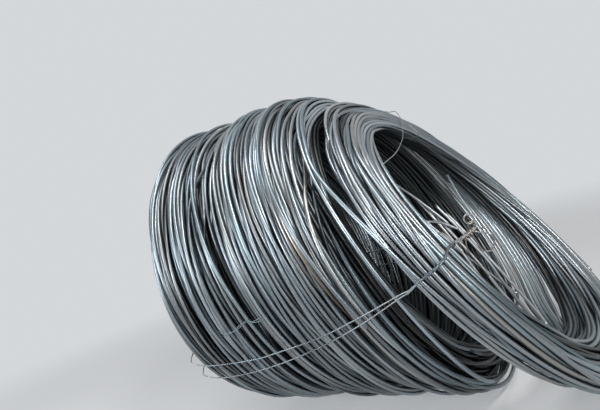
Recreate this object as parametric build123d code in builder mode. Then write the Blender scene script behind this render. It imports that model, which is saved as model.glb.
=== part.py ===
"""A coil of wire rod that lies on its side, its loops fanned out along the floor.

The rod is one length of steel, wound in some hundreds of loops. The loops hang
together in four lobes, which lean back more and more from the first to the last.
The coil is one solid with its bore. Its faces show the turns, wound side by side.
"""
import os
from math import cos, degrees, pi, radians, sin, tan
from build123d import *

os.makedirs("parts", exist_ok=True)

# The rod and its loops, in millimetres and degrees
rod = 10.0
rod_spacing = 0.8
turn_swell = 1.6
loop_radius = 524.0
wall = 130.0
shoulder = 24.0
crown_share = 0.22
gap_depth = 46.0
face_margin = 6.0
turn_root = 6.0
along_shift = -4.5
side_shift = -1.4

# The tie wires: one doubled, round all the lobes, and one round the fourth lobe's top
tie_wire_size = 3.2
tie_clearance = 0.3
strand_gap = 0.6
spread_at_first = 21.0
tie_height_first = -31.0
tie_height_fourth = 2.0
upper_tie_size = 2.6
upper_tie_height = 116.0
bight_width = 16.0
bight_rise = 16.0
knot_turns = 2
knot_pitch = 16.0
steps_a_turn = 4
knot_overhang = 8.0
knot_lift = 3.0
knot_rise = 7.0
tail_spread = 0.3
tails = {1: [(10, 2), (22, 14), (22, 38)], -1: [(8, 3), (12, 22), (4, 52)]}
tie_ease = 1.0
bend_share = 0.45
edge_share = 0.6
passage_share = 0.6
passage_size = 9.0

# Each face is a loop that stands on the floor: where it stands, its lean, its heading
first_left = (-430.0, 7.2, 1.0)
first_right = (-206.0, 12.6, 2.2)
second_left = (-127.0, 13.2, 2.4)
third_left = (85.0, 15.4, 2.0)
third_right = (276.0, 19.9, 0.0)
fourth_left = (461.0, 26.7, -2.0)
fourth_right = (580.0, 30.5, -1.0)

ON_COIL = "on coil"
FREE = "free"
bore_radius = loop_radius - wall
turn_pitch = rod + rod_spacing
lobes = [
    (first_left, first_right),
    (second_left, third_left),
    (third_left, third_right),
    (fourth_left, fourth_right),
]
gaps = [(first_right, second_left), (third_right, fourth_left)]
faces = [first_left, first_right, second_left, third_left, third_right, fourth_left, fourth_right]

face_inner = bore_radius + face_margin
turns = int((loop_radius - shoulder - face_margin - face_inner) / turn_pitch)
face_outer = face_inner + turns * turn_pitch


def between(left, right, share):
    """The loop that stands a share of the way from one face to another."""
    return tuple(a + share * (b - a) for a, b in zip(left, right))


def loop_plane(face):
    """The plane of a loop: its centre, with the axis of the loop as its normal."""
    foot, lean, heading = face
    axis = Vector(1, 0, 0).rotate(Axis.Y, -lean).rotate(Axis.Z, heading)
    upward = Vector(0, 0, 1).rotate(Axis.Y, -lean).rotate(Axis.Z, heading)
    sideways = Vector(0, 1, 0).rotate(Axis.Z, heading)
    centre = Vector(foot + along_shift, side_shift, 0) + upward * loop_radius
    return Plane(origin=centre, x_dir=sideways, z_dir=axis)


def standing_plane(face):
    """The plane of a loop whose circle begins at the floor, where the loop stands."""
    plane = loop_plane(face)
    return Plane(origin=plane.origin, x_dir=-plane.y_dir, z_dir=plane.z_dir)


def on_loop(face, height, reach, outward=0.0):
    """A point of a face at so many degrees above its near side, so far from its centre."""
    plane = loop_plane(face)
    near = plane.x_dir * -cos(radians(height))
    above = plane.y_dir * sin(radians(height))
    return plane.origin + (near + above) * reach + plane.z_dir * outward


def bend_radii(route, size):
    """The largest arc for each corner that its two runs leave room for, and the coil's edge."""
    radii = []
    for i in range(1, len(route) - 1):
        before = route[i][0] - route[i - 1][0]
        after = route[i + 1][0] - route[i][0]
        half_turn = radians(before.get_angle(after)) / 2
        radius = bend_share * min(before.length, after.length) / tan(half_turn)
        if route[i][1] == ON_COIL:
            touch = size / 2 + tie_clearance
            corner = (touch + tie_ease) / cos(half_turn)
            radius = min(radius, edge_share * (corner - touch) / (1 / cos(half_turn) - 1))
        radii.append(radius)
    return radii


passage = between(third_right, fourth_left, passage_share)

with BuildPart() as wire_coil:
    for left, right in lobes:
        start = standing_plane if right == fourth_right else loop_plane
        crown = [between(left, right, crown_share), between(left, right, 1 - crown_share)]
        for face in crown:
            with BuildSketch(start(face)):
                Circle(loop_radius)
        loft(ruled=True)
        for edge, near in ((left, crown[0]), (right, crown[1])):
            with BuildSketch(start(edge)):
                Circle(loop_radius - shoulder)
            with BuildSketch(start(near)):
                Circle(loop_radius)
            loft(ruled=True)
    for left, right in gaps:
        for face in (left, right):
            with BuildSketch(loop_plane(face)):
                Circle(loop_radius - gap_depth)
        loft(ruled=True)
    for face in faces:
        with BuildSketch(loop_plane(face)):
            Circle(bore_radius)
    loft(ruled=True, mode=Mode.SUBTRACT)
    through = on_loop(passage, upper_tie_height, (bore_radius + loop_radius) / 2)
    with BuildSketch(Plane(origin=loop_plane(passage).origin, z_dir=through - loop_plane(passage).origin)):
        Rectangle(passage_size, passage_size)
    extrude(amount=loop_radius, mode=Mode.SUBTRACT)
    for face, outward in ((first_left, -1), (fourth_right, 1)):
        plane = loop_plane(face)
        root = -outward * turn_root
        with BuildSketch(Plane(origin=plane.origin, x_dir=plane.x_dir, z_dir=plane.y_dir)):
            with BuildLine():
                for turn in range(turns):
                    start = face_inner + turn * turn_pitch
                    crest = (start + turn_pitch / 2, -outward * turn_swell)
                    Polyline((start, 0), crest, (start + turn_pitch, 0))
                Polyline((face_outer, 0), (face_outer, -root), (face_inner, -root), (face_inner, 0))
            make_face()
        revolve(axis=Axis(plane.origin, plane.z_dir), revolution_arc=360)
wire_coil.part.label = "wire_coil"
export_step(wire_coil.part, "parts/wire_coil.step")


def strand_height(face, side):
    """The height of one strand of the doubled tie: the two spread towards the first face."""
    share = (face[0] - first_left[0]) / (fourth_right[0] - first_left[0])
    climb = tie_height_first + share * (tie_height_fourth - tie_height_first)
    apart = tie_wire_size + strand_gap + (1 - share) * spread_at_first
    return climb + side * degrees(apart / 2 / loop_radius)


def strand_corners(side):
    """One strand, from the knot over the lobes and back through the bore to the bight."""
    rim = loop_radius - shoulder + tie_reach / 3
    inside = bore_radius - tie_reach
    face_reach = tie_reach + turn_swell
    eye = degrees(bight_width / 2 / bore_radius) - degrees((tie_wire_size + strand_gap) / 2 / bore_radius)
    last = strand_height(fourth_right, side)
    corners = [
        on_loop(fourth_right, last, inside, face_reach),
        on_loop(fourth_right, last, rim, face_reach),
    ]
    for left, right in reversed(lobes):
        for share in (1 - crown_share, crown_share):
            face = between(left, right, share)
            corners.append(on_loop(face, strand_height(face, side), loop_radius + tie_reach))
    corners.append(on_loop(first_left, strand_height(first_left, side), rim, -face_reach))
    corners.append(on_loop(first_left, strand_height(first_left, side), inside, -face_reach))
    for face in (first_right, second_left, third_left, third_right):
        corners.append(on_loop(face, strand_height(face, side), inside))
    corners.append(on_loop(fourth_left, strand_height(fourth_left, side) + side * eye, inside))
    corners.append(on_loop(fourth_right, last + side * eye, inside, bight_rise - bight_width / 2))
    corners.append(on_loop(fourth_right, last + side * eye, inside + bight_width / 4, bight_rise))
    return [(corner, ON_COIL) for corner in corners[:-2]] + [(corner, FREE) for corner in corners[-2:]]


def twist_corners(side):
    """One strand of the knot, wound about the other from the bore's edge to the tip."""
    middle = strand_height(fourth_right, 0)
    root = on_loop(fourth_right, middle, bore_radius - knot_overhang, tie_reach + turn_swell + knot_lift)
    plane = loop_plane(fourth_right)
    along = (root - on_loop(fourth_right, middle, bore_radius) + plane.z_dir * knot_rise).normalized()
    across = (on_loop(fourth_right, middle + 1, bore_radius) - on_loop(fourth_right, middle, bore_radius)).normalized()
    over = along.cross(across).normalized()
    wind = (tie_wire_size + strand_gap) / 2
    corners = []
    for step in range(knot_turns * steps_a_turn + 1):
        angle = radians(360 / steps_a_turn * step + (0 if side > 0 else 180))
        sideways = across * (wind * cos(angle)) + over * (wind * sin(angle))
        corners.append(root + along * (step * knot_pitch / steps_a_turn) + sideways)
    tip = corners[-1]
    for reach_on, drop in tails[side]:
        corners.append(tip + along * reach_on + across * (side * reach_on * tail_spread) + Vector(0, 0, -drop))
    return [(corner, FREE) for corner in corners]


tie_reach = tie_wire_size / 2 + tie_clearance + tie_ease
route = list(reversed(twist_corners(1))) + strand_corners(1)
route += list(reversed(strand_corners(-1))) + twist_corners(-1)
with BuildPart() as tie_wire:
    with BuildLine() as strand:
        FilletPolyline(*[corner for corner, _ in route], radius=bend_radii(route, tie_wire_size))
    with BuildSketch(Plane(origin=strand.wire() @ 0, z_dir=strand.wire() % 0)):
        Circle(tie_wire_size / 2)
    sweep(path=strand.wire())
tie_wire.part.label = "tie_wire"
export_step(tie_wire.part, "parts/tie_wire.step")
tie_section = pi * tie_wire_size**2 / 4
print("tie length", round(strand.wire().length), "by volume", round(tie_wire.part.volume / tie_section))
print("tie radii", [round(r, 1) for r in bend_radii(route, tie_wire_size)])

reach = upper_tie_size / 2 + tie_clearance + tie_ease
rim = loop_radius - shoulder + reach / 3
beside = upper_tie_height + degrees((upper_tie_size + strand_gap) / loop_radius)
left_crown = between(fourth_left, fourth_right, crown_share)
right_crown = between(fourth_left, fourth_right, 1 - crown_share)
route = [
    (on_loop(fourth_right, upper_tie_height, (bore_radius + rim) / 2, reach + turn_swell), FREE),
    (on_loop(fourth_right, upper_tie_height, bore_radius - 3.4 * reach, reach + turn_swell), ON_COIL),
    (on_loop(fourth_left, upper_tie_height, bore_radius - 2 * reach), ON_COIL),
    (on_loop(passage, upper_tie_height, bore_radius - reach), ON_COIL),
    (on_loop(passage, upper_tie_height, loop_radius), FREE),
    (on_loop(left_crown, beside, loop_radius + reach, reach / 2), ON_COIL),
    (on_loop(right_crown, beside, loop_radius + reach, reach / 2), ON_COIL),
    (on_loop(fourth_right, beside, rim, reach + turn_swell), ON_COIL),
    (on_loop(fourth_right, beside, bore_radius + wall / 4, reach + turn_swell), FREE),
]
with BuildPart() as upper_tie:
    with BuildLine() as strand:
        FilletPolyline(*[corner for corner, _ in route], radius=bend_radii(route, upper_tie_size))
    with BuildSketch(Plane(origin=strand.wire() @ 0, z_dir=strand.wire() % 0)):
        Circle(upper_tie_size / 2)
    sweep(path=strand.wire())
upper_tie.part.label = "upper_tie"
export_step(upper_tie.part, "parts/upper_tie.step")

for name, part in (("wire_coil", wire_coil), ("tie_wire", tie_wire), ("upper_tie", upper_tie)):
    print(name, "volume", round(part.part.volume), "mm3, solids", len(part.part.solids()))
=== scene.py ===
# %% [markdown]
# A coil of steel wire rod lies on its side. It is one length of 10 mm rod in some
# hundreds of loops, and the loops hang together in four lobes that lean back more and
# more. A doubled soft wire and two thinner ties hold them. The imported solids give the
# places: this lesson dresses them, so that each loop of rod can be seen.

# %% Load the frame
import math

import bpy
import numpy as np
from mathutils import Matrix, Vector


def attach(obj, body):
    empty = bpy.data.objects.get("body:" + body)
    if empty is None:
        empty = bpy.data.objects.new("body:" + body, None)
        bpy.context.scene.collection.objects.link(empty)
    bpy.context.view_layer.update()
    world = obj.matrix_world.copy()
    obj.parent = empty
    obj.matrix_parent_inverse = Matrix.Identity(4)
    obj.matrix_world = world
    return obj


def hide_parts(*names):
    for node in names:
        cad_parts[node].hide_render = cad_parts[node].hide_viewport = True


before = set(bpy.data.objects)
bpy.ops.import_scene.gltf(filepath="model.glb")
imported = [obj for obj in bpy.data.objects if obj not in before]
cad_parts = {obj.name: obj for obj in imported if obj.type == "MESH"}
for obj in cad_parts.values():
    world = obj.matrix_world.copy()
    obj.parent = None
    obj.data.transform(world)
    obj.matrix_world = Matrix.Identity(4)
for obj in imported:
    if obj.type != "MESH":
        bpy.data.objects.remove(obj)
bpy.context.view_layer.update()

# %% [markdown]
# The camera comes first. It stands near the end of the coil whose loops lean back most,
# a little over half a metre up, and looks level along the lobes. It is rolled, because
# the coil lay on a slope in the view that is matched, and here it lies on a level floor.

# %% Camera
LENS = 25.98
seen_from = Vector((0.5459, -1.3221, 0.6372))
to_the_right = Vector((0.8031, 0.5139, -0.3016)).normalized()
looking = Vector((-0.5358, 0.8443, 0.0116)).normalized()
upright = to_the_right.cross(looking).normalized()
to_the_right = looking.cross(upright).normalized()
camera_data = bpy.data.cameras.new("camera")
camera_data.lens = LENS
camera_data.clip_end = 60
camera = bpy.data.objects.new("camera", camera_data)
bpy.context.collection.objects.link(camera)
turned = Matrix((to_the_right, upright, -looking)).transposed()
camera.matrix_world = Matrix.Translation(seen_from) @ turned.to_4x4()
bpy.context.scene.camera = camera
print("camera at", tuple(seen_from), "lens", camera_data.lens)

# %% [markdown]
# Every loop is a circle that stands on the floor and leans back. Seven of them are the
# faces of the lobes: where each stands, its lean and its heading. A number from 0 to 6
# counts along them, so 0.5 is halfway through the first lobe. One function turns that
# number, an angle round the loop and a reach from its centre into a place.

# %% The loops and where they stand
# ROD is the rod with its scale. LOOP is a loop's radius to the outside of the coil, WALL
# goes from there to the bore, and SHIFT moves the coil over the origin.
ROD = 0.0104
LOOP = 0.524
WALL = 0.130
BORE_REACH = LOOP - WALL + ROD / 2
SHIFT = np.array([-0.0045, -0.0014, 0.0])
# Each row is a face: where its foot stands, then its lean and its heading in degrees.
faces = np.array([
    (-0.464, 6.6, 1.0),
    (-0.206, 12.6, 2.2),
    (-0.127, 13.2, 2.4),
    (0.085, 15.4, 2.0),
    (0.276, 19.9, 0.0),
    (0.461, 26.7, -2.0),
    (0.580, 30.5, -1.0),
])
face_numbers = np.arange(len(faces))


def loop_frame(along):
    """The axis, upward and sideways directions and the centre of the loop at a place along."""
    foot, lean, heading = (np.interp(along, face_numbers, faces[:, i]) for i in range(3))
    lean, heading = np.radians(lean), np.radians(heading)
    c, s = np.cos(lean), np.sin(lean)
    axis = np.stack([c * np.cos(heading), c * np.sin(heading), s], -1)
    upward = np.stack([-s * np.cos(heading), -s * np.sin(heading), c], -1)
    sideways = np.stack([-np.sin(heading), np.cos(heading), 0 * heading], -1)
    centre = np.stack([foot, 0 * foot, 0 * foot], -1) + SHIFT + LOOP * upward
    return axis, upward, sideways, centre


def spot(along, angle, reach):
    """Places on the loops, with the axis and the outward direction there. Angle 0 is the
    near side and 90 degrees the top."""
    axis, upward, sideways, centre = loop_frame(along)
    outward = upward * np.sin(angle)[..., None] - sideways * np.cos(angle)[..., None]
    return centre + outward * reach[..., None], axis, outward


print("loops", 2 * LOOP, "m across, faces at", faces[:, 0])

# %% [markdown]
# The rod was laid loop by loop, and each loop sits a little off centre, with the offset
# turning slowly round. So the wall of the coil is a stack of flat rosettes. The rod is
# made the same way: one long path of some hundreds of turns, with a slow random wander.
# The same seed gives the same coil each time.

# %% The path of the rod
# STATIONS are the points of a turn. ROSETTE is the number of turns in which the offset
# goes once round, and OFF_CENTRE is that offset. The list gives the turns of each lobe or
# gap, from one face to the next.
STATIONS = 84
SEED = 5
ROSETTE = 11.3
OFF_CENTRE = 0.050
turns_in = [100, 9, 102, 92, 15, 60]
TURNS = sum(turns_in)
rng = np.random.default_rng(SEED)
turn = np.arange(TURNS * STATIONS).reshape(TURNS, STATIONS) / STATIONS
round_loop = np.linspace(-np.pi / 2, 1.5 * np.pi, STATIONS, endpoint=False)
angle = np.broadcast_to(round_loop, turn.shape)


def eased(share):
    """A share from 0 to 1 that starts and ends gently."""
    return share * share * (3 - 2 * share)


def wander(turns_long, waves, size):
    """Smooth random numbers along the rod and round the loop, of a given typical size."""
    total = np.zeros(turn.shape)
    place = turn / turns_long
    low = place.astype(int)
    mix = eased(place - low)
    for wave in range(waves + 1):
        for shape in (np.cos, np.sin):
            knots = rng.normal(0, 1 / (1 + wave), int(TURNS / turns_long) + 4)
            total += (knots[low] * (1 - mix) + knots[low + 1] * mix) * shape(wave * angle)
    return total * size / total.std()


turn_at_face = np.concatenate([[0], np.cumsum(turns_in)])
along = np.interp(turn, turn_at_face, face_numbers)
phase = 2 * np.pi * turn / ROSETTE + wander(turns_long=9, waves=0, size=0.6)
offset = OFF_CENTRE + wander(turns_long=4, waves=0, size=0.005)
reach = LOOP - WALL / 2 + offset * np.cos(angle - phase) + wander(turns_long=3, waves=3, size=0.004)
print("turns", TURNS, "rod length", round(TURNS * 2 * math.pi * (LOOP - WALL / 2)), "m")

# %% [markdown]
# Each turn belongs to a lobe, or to a gap that it bridges. The few turns that bridge a
# gap part to both sides on the near side, so that the gap stands open there. Towards
# the top, the turns of some lobes get leave to stray over their neighbours.

# %% The lobe that each turn belongs to
BEFORE_LAST_FACE = 5.999
NEAR_SIDE_FROM, NEAR_SIDE_FADE, NEAR_SIDE_TURNED = -0.15, 0.7, 0.35
MOST_CROSSING = 0.75
is_gap = np.array([False, True, False, False, True, False])
# Each row is a stretch between two faces: the first and last place of its turns, how far
# these two move on the near side, and their leave to move at the top.
stretches = np.array([
    (0, 1, 0, -0.07, 0, 0.4),
    (1, 2, -0.28, 0.28, 0, 0),
    (2, 4, 0.11, 0, 0.4, 0.3),
    (2, 4, 0.11, 0, 0.4, 0.3),
    (4, 5, -0.28, 0.28, 0, 0),
    (5, 6, 0, 0, 1, 0),
])
home = np.clip(along, 0, BEFORE_LAST_FACE).astype(int)
towards_near = np.cos(angle + NEAR_SIDE_TURNED) - NEAR_SIDE_FROM
near_side = eased(np.clip(towards_near / NEAR_SIDE_FADE, 0, 1))
first, last, first_near, last_near, first_free, last_free = stretches[home].transpose(2, 0, 1)
home_low = first + first_near * near_side
home_high = last + last_near * near_side


def top_share(angle):
    """One at the top of a loop, nothing at the floor."""
    return 0.5 + 0.5 * np.sin(angle)


def crossing(angle):
    """How freely turns stray from lobe to lobe: most at the top."""
    return MOST_CROSSING * top_share(angle) ** 3


def keep_in_lobe(along, angle):
    """Holds each turn in its own lobe, with more and more leave towards the top."""
    leave = crossing(angle)
    return np.clip(along, home_low - leave * first_free, home_high + leave * last_free)


print("turns that start in each stretch:", np.bincount(home[:, 0]))

# %% [markdown]
# The outside of a lobe isn't even. It is crowned towards its faces, a few long hollows
# run round it, and loose stretches of the rod stand proud. Between the lobes the turns
# lie deeper. One function gives the largest reach at a place, and each push is held to it.

# %% The room for a turn
FIRST_CROWN = 0.008
CROWN = 0.022
GAP_DEPTH = 0.096
DEEPEST_LOOSE, PROUDEST_LOOSE = -0.004, 0.009
# Each hollow's place along the lobes, its half width there and its depth.
valleys = [
    (0.42, 0.05, 0.026),
    (2.36, 0.04, 0.034),
    (2.78, 0.04, 0.024),
    (3.5, 0.06, 0.030),
    (5.45, 0.07, 0.020),
]
loose = wander(turns_long=1.3, waves=2, size=0.005)


def largest_reach(along, angle):
    """The largest reach that the coil's shape allows at a place."""
    low = np.clip(along, 0, BEFORE_LAST_FACE).astype(int)
    crown = np.where(along < 0.5, FIRST_CROWN, CROWN) * np.abs(2 * (along - low) - 1) ** 4
    gap = GAP_DEPTH * (1 - crossing(angle))
    largest = LOOP - np.where(is_gap[low], gap, crown)
    for at, half, deep in valleys:
        slant = at + 1.2 * half * np.sin(angle + 9 * at)
        hollow = deep * np.exp(-((along - slant) / half) ** 2)
        largest = largest - hollow * (1 - 0.6 * top_share(angle))
    proud = np.clip(loose, DEEPEST_LOOSE, PROUDEST_LOOSE) * (1 - top_share(-angle) ** 2)
    return largest + proud - ROD / 2


print("loose turns from", loose.min().round(4), "to", loose.max().round(4), "m")

# %% [markdown]
# Where the path crosses itself the rods would cut through each other. So the turns are
# pushed apart, round after round, towards a clear rod's width, and each push is spread
# along the rod, since steel can't kink. Turns that are near each other along the coil
# are found by sorting every station, and only those are compared. In the fullest places,
# above all in the fourth lobe, some turns still cut each other.

# %% Let the turns stray
LEAST_STRETCH_AT_START = 0.06


def stretch(along, angle, reach):
    """How far a step along moves the rod, across its loop's plane and outward."""
    step = 0.001
    here, axis, outward = spot(along, angle, reach)
    there = spot(along + step, angle, reach)[0]
    move = (there - here) / step
    return (move * axis).sum(-1), (move * outward).sum(-1)


from_middle = along - home - 0.5
away = np.sign(from_middle) * (0.6 + 0.35 * np.abs(from_middle))
along = along + near_side * is_gap[home] * (away - from_middle)
strayed = wander(turns_long=2, waves=2, size=0.007) + wander(turns_long=7, waves=2, size=0.006)
along = along + strayed / np.maximum(stretch(along, angle, reach)[0], LEAST_STRETCH_AT_START)
laid_along, laid_reach = along.copy(), reach.copy()
print("turns stray along by up to", np.abs(strayed).max().round(3), "m")

# %% Push the turns apart
COMPARED = 36
CLEAR = 0.0107
PUSH_SHARE = 0.3
LONGEST_PUSH = 0.003
LEAST_STRETCH = 0.02


def push_apart(along, reach, rounds, stiffness):
    """Moves the turns off each other and gives back their new places."""
    for lap in range(rounds):
        place, axis, outward = spot(along, angle, reach)
        if lap % 5 == 0:
            across, out = stretch(along, angle, reach)
            across = np.maximum(across, LEAST_STRETCH)
        order = np.argsort(along, axis=0)
        place, axis, outward = (np.take_along_axis(v, order[..., None], 0) for v in (place, axis, outward))
        push_across, push_out = np.zeros(along.shape), np.zeros(along.shape)
        for k in range(1, COMPARED + 1):
            apart = place[k:] - place[:-k]
            a = (apart * axis[:-k]).sum(-1)
            b = (apart * outward[:-k]).sum(-1)
            gap = np.hypot(a, b) + 1e-9
            share = PUSH_SHARE * np.clip(CLEAR - gap, 0, None) / gap
            push_across[k:] += share * a
            push_across[:-k] -= share * a
            push_out[k:] += share * b
            push_out[:-k] -= share * b
        moved_across, moved_out = np.empty(along.shape), np.empty(along.shape)
        np.put_along_axis(moved_across, order, np.clip(push_across, -LONGEST_PUSH, LONGEST_PUSH), 0)
        np.put_along_axis(moved_out, order, np.clip(push_out, -LONGEST_PUSH, LONGEST_PUSH), 0)
        step = moved_across / across
        new_along = keep_in_lobe(along + step, angle)
        new_reach = reach + moved_out - out * step
        new_reach = np.clip(new_reach, BORE_REACH, largest_reach(new_along, angle))
        pushed = [(new_along - laid_along).ravel(), (new_reach - laid_reach).ravel()]
        for value in pushed:
            value[1:-1] += stiffness * (0.5 * (value[:-2] + value[2:]) - value[1:-1])
        along = keep_in_lobe(laid_along + pushed[0].reshape(along.shape), angle)
        reach = laid_reach + pushed[1].reshape(along.shape)
    return along, reach


along, reach = push_apart(along, reach, rounds=120, stiffness=0.4)
along, reach = push_apart(along, reach, rounds=120, stiffness=0.1)
print("turns pushed along the lobes by up to", np.abs(along - laid_along).max().round(2))

# %% Ease the sharp bends
SOFTENING_LAPS = 6


def softened(values, sharp):
    """The same values along the rod with their sharp bends eased, and the rest hardly."""
    line = values.flatten()
    for lap in range(SOFTENING_LAPS):
        pull = 0.5 * (line[:-2] + line[2:]) - line[1:-1]
        line[1:-1] += np.where(np.abs(pull) > sharp, 0.5, 0.05) * pull
    return line.reshape(values.shape)


along = softened(along, sharp=0.006)
reach = softened(reach, sharp=0.0012)
place, _, outward = spot(along, angle, reach)
print("path box", place.reshape(-1, 3).min(0).round(3), place.reshape(-1, 3).max(0).round(3))

# %% [markdown]
# A rod is a round skin along its path. A curve with a bevel could make it, but some
# thirty thousand points are quicker as arrays: a ring of eight corners at each point,
# and a quad between each corner and the next. Each corner keeps how far along the rod it
# lies, so that scale and scratches can follow the steel, and how deep it lies under
# other turns.

# %% A round rod through points
SIDES = 8


def unit(vectors):
    """The same directions, each of length one."""
    return vectors / np.linalg.norm(vectors, axis=1)[:, None]


def run_along(points):
    """How far along a path each of its points lies."""
    return np.append(0, np.cumsum(np.linalg.norm(np.diff(points, axis=0), axis=1)))


def rings(points, outward, size):
    """A ring of corners round each point of a path."""
    forward = unit(np.gradient(points, axis=0))
    first = unit(outward - forward * (outward * forward).sum(1)[:, None])
    second = np.cross(forward, first)
    turned = np.linspace(0, 2 * np.pi, SIDES, endpoint=False)[None, :, None]
    ring = first[:, None] * np.cos(turned) + second[:, None] * np.sin(turned)
    return (points[:, None] + ring * size / 2).reshape(-1, 3)


def rod_mesh(name, points, outward, size, start=0.0, buried=None):
    """A closed round rod of a given size through the points, with its UV along the length
    and, at each point, how deep it lies under other turns."""
    count = len(points)
    corners = rings(points, outward, size)
    here = np.arange((count - 1) * SIDES)
    beside = here - here % SIDES + (here + 1) % SIDES
    quads = np.stack([here, beside, beside + SIDES, here + SIDES], 1)
    last = len(corners) - SIDES
    ends = np.concatenate([np.arange(SIDES)[::-1], last + np.arange(SIDES)])
    loops = np.concatenate([quads.ravel(), ends])
    starts = np.append(np.arange(len(quads)) * 4, [quads.size, quads.size + SIDES])
    mesh = bpy.data.meshes.new(name)
    mesh.vertices.add(len(corners))
    mesh.vertices.foreach_set("co", corners.ravel())
    mesh.loops.add(len(loops))
    mesh.loops.foreach_set("vertex_index", loops)
    mesh.polygons.add(len(quads) + 2)
    mesh.polygons.foreach_set("loop_start", starts)
    length = start + run_along(points)
    column = np.repeat(here % SIDES, 4) + np.tile([0, 1, 1, 0], len(quads))
    row = np.repeat(here // SIDES, 4) + np.tile([0, 0, 1, 1], len(quads))
    uv = np.zeros((len(loops), 2))
    uv[:quads.size, 0] = length[row]
    uv[:quads.size, 1] = column / SIDES
    mesh.uv_layers.new(name="along_rod").data.foreach_set("uv", uv.ravel())
    deep = np.zeros(count) if buried is None else buried
    mesh.attributes.new("buried", "FLOAT", "POINT").data.foreach_set("value", np.repeat(deep, SIDES))
    mesh.update(calc_edges=True)
    mesh.validate()
    mesh.shade_smooth()
    for cut_end in (mesh.polygons[-1], mesh.polygons[-2]):
        cut_end.use_smooth = False
    piece = bpy.data.objects.new(name, mesh)
    bpy.context.collection.objects.link(piece)
    return piece, length[-1]


print("corners round a rod:", SIDES)

# %% [markdown]
# The four lobes are four meshes of one rod, each with its own share of the turns. A turn
# that lies deep in the pile gets little light, so its depth below the outside, the end
# faces and the bore is kept with it, and the steel's colour is darkened by that: painted
# shade. The wall of the bore is open to the light only near the last face, so further in
# it counts as deep and gets the same painted shade.

# %% The turns of each lobe
SHADED_BELOW = 0.005
SHADED_OVER = 0.016
FIRST_LOBE_LONG, LAST_LOBE_LONG = 0.24, 0.11
BORE_DARK_BEFORE, BORE_DARKER = 5.3, 0.1
to_outside = largest_reach(along, angle) - reach
to_ends = np.minimum((6 - along) * LAST_LOBE_LONG, along * FIRST_LOBE_LONG)
to_bore = reach - BORE_REACH + BORE_DARKER * np.clip(BORE_DARK_BEFORE - along, 0, 1)
under = np.minimum(np.minimum(to_outside, to_ends), to_bore)
# buried runs from 0 near the outside to 1 deep in the pile: the steel's colour is darkened by it, a
# painted shade.
buried = np.clip((under - SHADED_BELOW) / SHADED_OVER, 0, 1).ravel()
path = place.reshape(-1, 3)
facing = outward.reshape(-1, 3)
parts = {
    "turns_first_lobe": (0, 104),
    "turns_second_lobe": (104, 211),
    "turns_third_lobe": (211, 310),
    "turns_fourth_lobe": (310, TURNS),
}
turns = []
length = 0.0
for name, (first, last) in parts.items():
    chosen = slice(first * STATIONS, min(last * STATIONS + 1, len(path)))
    piece, length = rod_mesh(name, path[chosen], facing[chosen], ROD, length, buried[chosen])
    turns.append(piece)
    print(name, "triangles", 2 * len(piece.data.polygons), "rod so far", round(length), "m")

# %% [markdown]
# Not every loop keeps to its lobe. A few slack strands cross the gaps between the
# lobes, and some rods have slipped into the bore and lie along its far wall, with
# their sheared ends free. Each is laid through a few listed points: how far along the
# lobes, the height round the loop in degrees, and the reach.

# %% Paths laid through given points
LAID_STEPS = 14


def smooth_path(points, steps=12):
    """A smooth path through a few points."""
    points = np.array(points, float)
    ends = np.vstack([2 * points[0] - points[1], points, 2 * points[-1] - points[-2]])
    path = []
    for a, b, c, d in zip(ends, ends[1:], ends[2:], ends[3:]):
        t = np.linspace(0, 1, steps, endpoint=False)[:, None]
        bent = 2 * a - 5 * b + 4 * c - d + t * (3 * (b - c) + d - a)
        path.append(b + 0.5 * t * (c - a + t * bent))
    return np.vstack(path + [points[-1:]])


def laid(points):
    """A smooth path through a few given points on the loops."""
    along, height, reach = smooth_path(points, LAID_STEPS).T
    return spot(along, np.radians(height), reach)


def joined(name, pieces):
    """One piece of several rods or wires."""
    bpy.ops.object.select_all(action="DESELECT")
    for piece in pieces:
        piece.select_set(True)
    bpy.context.view_layer.objects.active = pieces[0]
    bpy.ops.object.join()
    whole = bpy.context.object
    whole.name = name
    print(name, "wires", len(pieces), "triangles", 2 * len(whole.data.polygons))
    return whole


def strands(name, paths, size):
    """One piece of several rods laid through given points."""
    laid_rods = []
    for i, points in enumerate(paths):
        path, _, facing = laid(points)
        laid_rods.append(rod_mesh(name, path, facing, size, 2.0 + 3.1 * i)[0])
    return joined(name, laid_rods)


print("points from one hand-placed point to the next:", LAID_STEPS)

# %% Slack strands and rods in the bore
slack = strands("slack_strands", [
    [(0.7, 150, 0.500), (0.9, 110, 0.514), (1.09, 66, 0.520), (1.27, 52, 0.520), (1.49, 28, 0.520),
     (1.67, 7, 0.520), (1.83, -9, 0.518), (1.95, -30, 0.516), (2.1, -70, 0.500)],
    [(2.1, 140, 0.490), (1.8, 100, 0.506), (1.5, 70, 0.508), (1.35, 35, 0.506), (1.42, 0, 0.508),
     (1.3, -30, 0.508), (0.9, -70, 0.500)],
    [(3.9, 120, 0.500), (4.2, 75, 0.510), (4.45, 45, 0.508), (4.50, 31, 0.506), (4.9, 16, 0.510),
     (5.15, 4, 0.514), (5.35, -20, 0.510), (5.5, -60, 0.500)],
    [(3.8, 95, 0.500), (4.1, 60, 0.500), (4.3, 30, 0.494), (4.4, 5, 0.490), (4.3, -25, 0.490),
     (3.9, -70, 0.490)],
    [(3.3, 40, 0.512), (3.45, 20, 0.530), (3.6, 0, 0.531), (3.72, -16, 0.532)],
    [(5.5, 150, 0.512), (5.75, 180, 0.530), (5.9, 205, 0.531), (5.95, 222, 0.534)],
], ROD)
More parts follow.
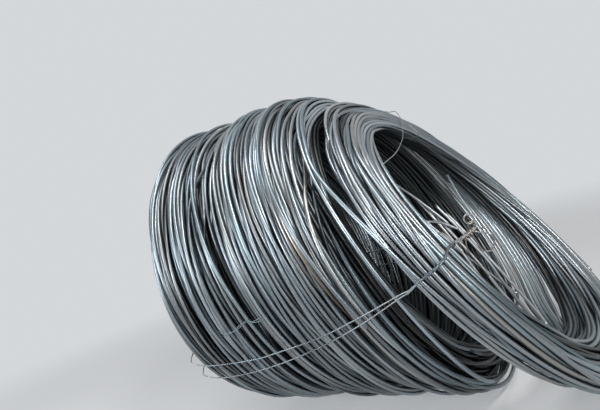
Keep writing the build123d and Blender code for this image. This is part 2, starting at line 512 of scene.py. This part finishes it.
dropped = strands("dropped_rods", [
    [(2.9, 140, 0.400), (3.36, 164, 0.384), (3.6, 178, 0.380), (3.83, 193, 0.382)],
    [(2.8, 184, 0.400), (3.26, 188, 0.384), (3.67, 191, 0.378), (3.96, 197, 0.376)],
    [(4.75, 160, 0.400), (4.58, 173, 0.384), (4.51, 186, 0.376), (4.49, 199, 0.366)],
    [(3.2, 130, 0.400), (3.16, 151, 0.384), (3.16, 171, 0.380), (3.43, 191, 0.378), (3.81, 212, 0.372)],
    [(3.5, 200, 0.400), (3.85, 216, 0.382), (4.16, 230, 0.378), (4.46, 244, 0.376)],
    [(3.5, 175, 0.396), (3.64, 192, 0.380), (3.8, 213, 0.372), (3.96, 234, 0.374), (4.12, 245, 0.382)],
    [(3.8, 180, 0.396), (4.04, 205, 0.380), (4.2, 220, 0.374), (4.34, 239, 0.374), (4.61, 264, 0.390)],
    [(3.6, 182, 0.396), (3.82, 203, 0.378), (4.02, 222, 0.370), (4.2, 240, 0.372), (4.4, 256, 0.386)],
    [(3.9, 186, 0.396), (4.16, 210, 0.378), (4.38, 230, 0.372), (4.6, 250, 0.378), (4.8, 268, 0.392)],
], ROD)

# %% The thin tie over the first gap
GAP_TIE = 0.0016
gap_tie = strands("gap_tie", [
    [(0.70, -16, 0.510), (0.84, -14.8, 0.525), (1.2, -13.0, 0.514), (1.7, -11.8, 0.515),
     (2.06, -11.2, 0.527), (2.16, -11, 0.508)],
    [(0.68, -14, 0.510), (0.84, -14.2, 0.525), (1.2, -13.5, 0.514), (1.7, -11.3, 0.515),
     (2.06, -11.6, 0.527), (2.18, -12, 0.508)],
], GAP_TIE)

# %% [markdown]
# The doubled tie ends in a rough knot. Its spare wire stands up in two small curls,
# droops in a slack loop and hangs down in a tail. These are a few more turns of the
# same soft wire, laid round the knot.

# %% Spare wire at the knot
TIE = 0.0032
CURL_POINTS, CURL_START, CLOSES_IN = 26, -1.9, 0.18
knot = np.array([0.3306, -0.3670, 0.4837])
aside, up = np.array([0.84, 0.54, 0.0]), np.array([0.0, 0.0, 1.0])
nearer = np.array([0.54, -0.84, 0.0])


def curl(centre_aside, centre_up, radius, turns, drift):
    """Points of a small curl beside the knot, which closes in as it winds."""
    t = np.linspace(0, 1, int(CURL_POINTS * turns))
    turned = 2 * np.pi * turns * t + CURL_START
    near = nearer * (drift * t)[:, None]
    size = (radius * (1 - CLOSES_IN * t))[:, None]
    return (knot + aside * centre_aside + up * centre_up + near
            + size * (aside * np.cos(turned)[:, None] + up * np.sin(turned)[:, None]))


def by_hand(offsets):
    """A smooth path through offsets from the knot: aside, up and towards the near side."""
    return smooth_path([knot + aside * a + up * u + nearer * n for a, u, n in offsets], 10)


spare = [
    curl(0.001, 0.028, 0.0115, 1.6, 0.010),
    curl(0.006, 0.012, 0.0090, 1.3, -0.008),
    by_hand([(-0.004, 0.004, 0), (0.012, -0.004, 0.004), (0.032, -0.014, 0.004), (0.040, -0.032, 0.002),
             (0.028, -0.050, 0), (0.010, -0.044, 0), (0.002, -0.020, 0.002), (-0.006, 0.0, 0.004)]),
    by_hand([(-0.002, 0.002, 0.004), (-0.018, -0.010, 0.006), (-0.020, -0.036, 0.004),
             (-0.008, -0.066, 0.002), (0.006, -0.100, 0.002)]),
]
print("spare wires at the knot:", len(spare))

# %% [markdown]
# Two strands leave the knot wound round each other, spread as they cross the lobes, turn
# round the face of the first lobe and come back to the knot through the bore. They hang
# in a long sag on the near side, so their heights there are listed one by one.

# %% The two strands of the doubled tie
OVER_LOBES = 0.536
THROUGH_BORE = 0.382
TWIST_LENGTH = 0.024
TWIST_RADIUS = 0.0017
TWISTED_FOR = 0.24
TWIST_FADES_OVER = 0.03


def on_face(face, height, reach, proud):
    """A point over the turned face of the first (0) or fourth (6) lobe."""
    here, axis, _ = spot(np.array(float(face)), np.radians(height), np.array(reach))
    return here + axis * proud


upper_run = [(5.9, 0.6), (5.32, -3), (4.95, -5.5), (4.72, -6.8), (3.7, -13), (2.83, -18), (2.1, -21.5),
             (0.99, -23.5), (0.32, -25), (0.04, -24)]
lower_run = [(5.9, 0.6), (5.32, -3.1), (4.95, -5.8), (4.66, -7.8), (3.64, -15), (2.74, -21), (1.86, -26),
             (0.69, -29.5), (0.24, -31), (0.02, -30)]
for side, run in ((1, upper_run), (-1, lower_run)):
    over = laid([(lobes, height, OVER_LOBES) for lobes, height in run])[0]
    start = [knot, on_face(6, 3.2, 0.43, 0.008), on_face(6, 1.8, 0.50, 0.009)]
    last_height = run[-1][1]
    round_edge = [on_face(0, last_height + 1, 0.522, -0.012), on_face(0, last_height + 3, 0.46, -0.010),
                  on_face(0, last_height + 5, 0.396, -0.010)]
    within = laid([(lobes, last_height + 7 + 4.2 * lobes, THROUGH_BORE)
                   for lobes in (0.1, 1.0, 2.0, 3.0, 4.0, 5.0, 5.9)])[0]
    back = [on_face(6, 3, 0.395, 0.006), knot]
    bends = start + list(over[::LAID_STEPS]) + round_edge + list(within[::LAID_STEPS]) + back
    strand = smooth_path(bends)
    forward = unit(np.gradient(strand, axis=0))
    level = unit(np.cross(forward, [0.0, 0.0, 1.0]))
    run_length = run_along(strand)
    wound = (2 * np.pi * run_length / TWIST_LENGTH)[:, None]
    twisted = TWIST_RADIUS * np.clip((TWISTED_FOR - run_length) / TWIST_FADES_OVER, 0, 1)[:, None]
    strand += side * twisted * (level * np.cos(wound) + np.cross(level, forward) * np.sin(wound))
    spare.append(strand)
    print("tie strand length", round(run_length[-1], 3), "m")

# %% [markdown]
# The knot itself is a wire wrapped slantwise round the place where all the strands meet.
# All of it is joined into one piece, since it is one tie. The thinner tie round the top
# of the fourth lobe is one more smooth path, through points over the face, the outside
# and the bore of that lobe.

# %% The knot and the upper tie
UPPER_TIE = 0.0026
KNOT_RADIUS = 0.0055
KNOT_POINTS = 90
knot_runs = np.array([-0.020, -0.012, -0.012])
knot_slant = np.array([-0.5, 0.3, 0.8])
t = np.linspace(0, 1, KNOT_POINTS)[:, None]
wound = 22 * t + 1
wraps = aside * np.cos(wound) * 0.5 + knot_slant * np.sin(wound) + nearer * np.cos(wound)
spare.append(knot + knot_runs * t + KNOT_RADIUS * wraps)
knot_wires = []
for i, points in enumerate(spare):
    facing_out = np.tile([0.3, -0.2, 0.93], (len(points), 1))
    knot_wires.append(rod_mesh("tie_part", points, facing_out, TIE, 3.0 * i)[0])
doubled_tie = joined("doubled_tie", knot_wires)
# Each point's place along the lobes, its height in degrees, its reach, and how far it
# stands off the face.
upper_bends = [
    (6, 37, 0.434, 0.010), (6, 57, 0.348, 0.006), (6, 78, 0.333, 0.004), (6, 94, 0.360, 0.004),
    (6, 103, 0.405, 0.008), (6, 110, 0.455, 0.010), (6, 113, 0.520, 0.010), (5.7, 115, 0.536, 0),
    (5.1, 117, 0.533, 0), (4.93, 117.5, 0.46, -0.004), (4.96, 117.5, 0.392, 0),
    (5.5, 116.5, 0.385, 0), (6, 115, 0.392, 0.009), (6, 113, 0.44, 0.013),
]
upper_path = smooth_path([on_face(*bend) for bend in upper_bends])
top_tie = rod_mesh("top_tie", upper_path, np.tile([0.8, 0.1, 0.6], (len(upper_path), 1)), UPPER_TIE)[0]
print("upper tie length", run_along(upper_path)[-1].round(3), "m")

# %% [markdown]
# The steel is bare and drawn: smooth, grey, with a soft shine that breaks up where thin
# scale and scratches run along the rod. The shade drifts slowly along its length, so
# neighbours differ a little, and a few stretches have a warm tint of light rust. One
# group makes these marks. On the rods they follow the wire's length by the UV map. The
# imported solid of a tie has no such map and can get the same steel, so there they only
# change from place to place.

# %% A group for marks along a wire
TINT_FROM = 40.0


def marks_group(name, along_wire):
    """A drift of shade, a tint, scratches and specks, along a wire by its UV or else in place."""
    marks = bpy.data.node_groups.new(name, "ShaderNodeTree")
    for output in ("Drift", "Tint", "Scratches", "Specks"):
        marks.interface.new_socket(name=output, socket_type="NodeSocketFloat", in_out="OUTPUT")
    nodes, links = marks.nodes, marks.links
    made = nodes.new("NodeGroupOutput")
    if along_wire:
        source = nodes.new("ShaderNodeUVMap")
        source.uv_map = "along_rod"
        vector = source.outputs["UV"]
        scales = {"Drift": (0.30, 0.2, 1), "Tint": (0.21, 0.1, 1),
                  "Scratches": (9, 9, 1), "Specks": (60, 6, 1)}
    else:
        vector = nodes.new("ShaderNodeTexCoord").outputs["Object"]
        scales = {"Drift": (9, 9, 9), "Tint": (5, 5, 5),
                  "Scratches": (70, 70, 70), "Specks": (240, 240, 240)}
    for output, scale in scales.items():
        mapped = nodes.new("ShaderNodeMapping")
        mapped.inputs["Scale"].default_value = scale
        mapped.inputs["Location"].default_value = (TINT_FROM if output == "Tint" else 0.0, 0, 0)
        links.new(vector, mapped.inputs["Vector"])
        noise = nodes.new("ShaderNodeTexNoise")
        noise.inputs["Scale"].default_value = 1.0
        noise.inputs["Detail"].default_value = 3.0
        links.new(mapped.outputs["Vector"], noise.inputs["Vector"])
        links.new(noise.outputs["Fac"], made.inputs[output])
    return marks


marks_on_rod = marks_group("marks_along_rod", True)
marks_on_tie = marks_group("marks_on_tie", False)
print("groups", marks_on_rod.name, marks_on_tie.name)

# %% Helpers for shades
def multiplied(nodes, links, colour, by, factor=1.0):
    """A colour made darker or tinted by another one."""
    mix = nodes.new("ShaderNodeMix")
    mix.data_type = "RGBA"
    mix.blend_type = "MULTIPLY"
    mix.inputs["Factor"].default_value = factor
    links.new(colour, mix.inputs["A"])
    links.new(by, mix.inputs["B"])
    return mix.outputs["Result"]


def ranged(nodes, links, value, measured, wanted, curve="LINEAR"):
    """A value brought from one range to another."""
    mapped = nodes.new("ShaderNodeMapRange")
    mapped.interpolation_type = curve
    mapped.inputs["From Min"].default_value, mapped.inputs["From Max"].default_value = measured
    mapped.inputs["To Min"].default_value, mapped.inputs["To Max"].default_value = wanted
    links.new(value, mapped.inputs["Value"])
    return mapped.outputs["Result"]


def ramp(nodes, links, value, stops):
    """A colour that follows a value through stops, each a place and a colour."""
    made = nodes.new("ShaderNodeValToRGB")
    elements = made.color_ramp.elements
    for element, (place, colour) in zip(elements, (stops[0], stops[-1])):
        element.position = place
        element.color = (*colour, 1)
    for place, colour in stops[1:-1]:
        elements.new(place).color = (*colour, 1)
    links.new(value, made.inputs["Fac"])
    return made.outputs["Color"]


print("helpers for shades are ready")

# %% [markdown]
# The three steels are one recipe with other colours. The drift picks a shade from dark
# through light to a warm one, the scratches wear it, deep turns get a painted shade, and
# a cool or warm tint goes over all of it. The specks roughen the shine, and the scratches
# also give a very slight bump.

# %% The recipe of the steel
BURIED_SHADE = 0.20
WEAR = 0.25
SCRATCH_STRENGTH = 0.03
SCRATCH_DEPTH = 0.0004
COOL, NEUTRAL, WARM = (0.78, 0.98, 1.0), (0.96, 0.98, 1.0), (1.0, 0.90, 0.80)


def steel(name, marks, dark, light, warm, roughness, metallic):
    """A bare steel with its shade drifting along the wire, and painted shade on deep turns."""
    material = bpy.data.materials.new(name)
    material.use_nodes = True
    nodes, links = material.node_tree.nodes, material.node_tree.links
    shader = nodes["Principled BSDF"]
    shader.inputs["Metallic"].default_value = metallic
    marked = nodes.new("ShaderNodeGroup")
    marked.node_tree = marks
    shade = ramp(nodes, links, marked.outputs["Drift"], [(0.34, dark), (0.60, light), (0.68, warm)])
    dusk = ranged(nodes, links, marked.outputs["Scratches"], (0.35, 0.65), (0.55, 1.0))
    worn = multiplied(nodes, links, shade, dusk, WEAR)
    # Painted shade: the colour is darkened where a turn lies deep, down to BURIED_SHADE.
    depth = nodes.new("ShaderNodeAttribute")
    depth.attribute_name = "buried"
    dimmed = ranged(nodes, links, depth.outputs["Fac"], (0.0, 1.0), (1.0, BURIED_SHADE))
    deep_turns_painted_shade = multiplied(nodes, links, worn, dimmed)
    tint = ramp(nodes, links, marked.outputs["Tint"], [(0.36, COOL), (0.5, NEUTRAL), (0.64, WARM)])
    links.new(multiplied(nodes, links, deep_turns_painted_shade, tint), shader.inputs["Base Color"])
    smoothest, roughest = roughness - 0.05, roughness + 0.08
    rough = ranged(nodes, links, marked.outputs["Specks"], (0.3, 0.7), (smoothest, roughest))
    links.new(rough, shader.inputs["Roughness"])
    bump = nodes.new("ShaderNodeBump")
    bump.inputs["Strength"].default_value = SCRATCH_STRENGTH
    bump.inputs["Distance"].default_value = SCRATCH_DEPTH
    links.new(marked.outputs["Scratches"], bump.inputs["Height"])
    links.new(bump.outputs["Normal"], shader.inputs["Normal"])
    return material


print("shade left on the deepest turns:", BURIED_SHADE)

# %% Steel for each piece
rod_steel = steel("rod_steel", marks_on_rod,
                  (0.075, 0.094, 0.110), (0.42, 0.46, 0.49), (0.35, 0.32, 0.27), 0.36, 0.88)
tie_steel = steel("tie_steel", marks_on_tie,
                  (0.14, 0.155, 0.17), (0.32, 0.335, 0.35), (0.28, 0.26, 0.23), 0.42, 0.75)
# The rods in the bore get a paler copy of the rod steel: painted light, so they stay bright in the bore's
# shade.
bore_rods_painted_light_steel = steel("bore_rod_steel_painted_light", marks_on_rod,
                    (0.28, 0.30, 0.32), (0.60, 0.62, 0.64), (0.50, 0.46, 0.40), 0.36, 0.85)
for piece in turns + [slack, dropped]:
    piece.data.materials.append(bore_rods_painted_light_steel if piece is dropped else rod_steel)
    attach(piece, "root")
for piece in (gap_tie, doubled_tie, top_tie):
    piece.data.materials.append(tie_steel)
    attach(piece, "root")
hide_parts("wire_coil")
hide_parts("tie_wire")
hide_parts("upper_tie")
print("materials", [m.name for m in bpy.data.materials])

# %% [markdown]
# The floor and the light are a plain studio. The camera sees one pale tone all round,
# and the floor fades into it away from the coil. In its shine the steel sees that pale
# tone behind the coil and a dim room in front, so that each rod keeps a dark side, and
# large soft lamps light it from above and from the front.

# %% Helpers for the studio
PALE = (0.66, 0.68, 0.70, 1)


def larger(nodes, links, one, other):
    """The larger of two values."""
    either = nodes.new("ShaderNodeMath")
    either.operation = "MAXIMUM"
    links.new(one, either.inputs[0])
    links.new(other, either.inputs[1])
    return either.outputs[0]


def seen_directly(nodes, links):
    """One where the camera, a shine or a clear surface looks, nothing for scattered light."""
    path = nodes.new("ShaderNodeLightPath")
    seen_or_shone = larger(nodes, links, path.outputs["Is Camera Ray"], path.outputs["Is Glossy Ray"])
    return larger(nodes, links, seen_or_shone, path.outputs["Is Transmission Ray"])


def mixed(nodes, links, share, first, second):
    """One shader that turns into a second one by a share."""
    mix = nodes.new("ShaderNodeMixShader")
    links.new(share, mix.inputs[0])
    links.new(first, mix.inputs[1])
    links.new(second, mix.inputs[2])
    return mix.outputs[0]


print("pale tone", PALE[:3])

# %% The floor
bpy.ops.object.select_all(action="DESELECT")
bpy.ops.mesh.primitive_plane_add(size=40, location=(0, 0, 0))
floor = bpy.context.object
floor.name = "floor"
paper = bpy.data.materials.new("floor_paper")
paper.use_nodes = True
nodes, links = paper.node_tree.nodes, paper.node_tree.links
matt = nodes["Principled BSDF"]
matt.inputs["Base Color"].default_value = (0.60, 0.60, 0.60, 1)
matt.inputs["Roughness"].default_value = 0.9
plain = nodes.new("ShaderNodeEmission")
plain.inputs["Color"].default_value = PALE
where = nodes.new("ShaderNodeTexCoord")
far_off = nodes.new("ShaderNodeVectorMath")
far_off.operation = "LENGTH"
links.new(where.outputs["Object"], far_off.inputs[0])
fade = ranged(nodes, links, far_off.outputs["Value"], (0.8, 4.5), (0.45, 1.0), "SMOOTHSTEP")
even = mixed(nodes, links, fade, matt.outputs[0], plain.outputs[0])
shaded = nodes.new("ShaderNodeBsdfDiffuse")
shaded.inputs["Color"].default_value = (0.14, 0.14, 0.14, 1)
lit_floor = mixed(nodes, links, seen_directly(nodes, links), shaded.outputs[0], even)
links.new(lit_floor, nodes["Material Output"].inputs["Surface"])
floor.data.materials.append(paper)
print("floor", floor.name, "of", paper.name)

# %% The studio all round
world = bpy.data.worlds.new("studio")
bpy.context.scene.world = world
world.use_nodes = True
nodes, links = world.node_tree.nodes, world.node_tree.links
nodes.clear()
glow = nodes.new("ShaderNodeBackground")
glow.inputs["Color"].default_value = (0.90, 0.95, 1.0, 1)
glow.inputs["Strength"].default_value = 0.10
heading = nodes.new("ShaderNodeTexCoord")
behind_coil = nodes.new("ShaderNodeVectorMath")
behind_coil.operation = "DOT_PRODUCT"
behind_coil.inputs[1].default_value = (-0.54, 0.84, 0.0)
links.new(heading.outputs["Generated"], behind_coil.inputs[0])
wall = ranged(nodes, links, behind_coil.outputs["Value"], (-0.3, 0.45), (0.12, 1.0))
is_camera_ray = nodes.new("ShaderNodeLightPath").outputs["Is Camera Ray"]
backdrop = nodes.new("ShaderNodeBackground")
backdrop.inputs["Color"].default_value = PALE
links.new(larger(nodes, links, wall, is_camera_ray), backdrop.inputs["Strength"])
sky = nodes.new("ShaderNodeOutputWorld")
all_round = mixed(nodes, links, seen_directly(nodes, links), glow.outputs[0], backdrop.outputs[0])
links.new(all_round, sky.inputs["Surface"])
print("world", world.name)

# %% Lamps
def lamp(name, place, target, size, power, colour=(1, 1, 1)):
    """A large soft lamp that faces a target."""
    data = bpy.data.lights.new(name, "AREA")
    data.shape = "RECTANGLE"
    data.size, data.size_y = size
    data.energy = power
    data.color = colour
    lit = bpy.data.objects.new(name, data)
    bpy.context.collection.objects.link(lit)
    lit.location = place
    lit.rotation_euler = (Vector(target) - Vector(place)).to_track_quat("-Z", "Y").to_euler()


lamp("overhead", (-0.2, -0.9, 3.2), (0, 0, 0.4), (1.5, 1.0), 52)
lamp("left_front", (-1.4, -3.0, 1.5), (-0.1, 0, 0.45), (0.8, 0.8), 56, (0.90, 0.95, 1.0))
lamp("low_left", (-2.3, -2.0, 0.7), (-0.3, 0, 0.35), (0.5, 0.5), 20, (0.94, 0.97, 1.0))
lamp("high_right", (2.0, -1.1, 2.8), (0.3, 0, 0.5), (0.7, 0.7), 80, (1.0, 0.98, 0.95))
lamp("right_front", (1.9, -1.9, 1.2), (0.3, 0.2, 0.5), (0.6, 0.6), 18, (1.0, 0.98, 0.95))
bpy.context.scene.view_settings.view_transform = "Standard"
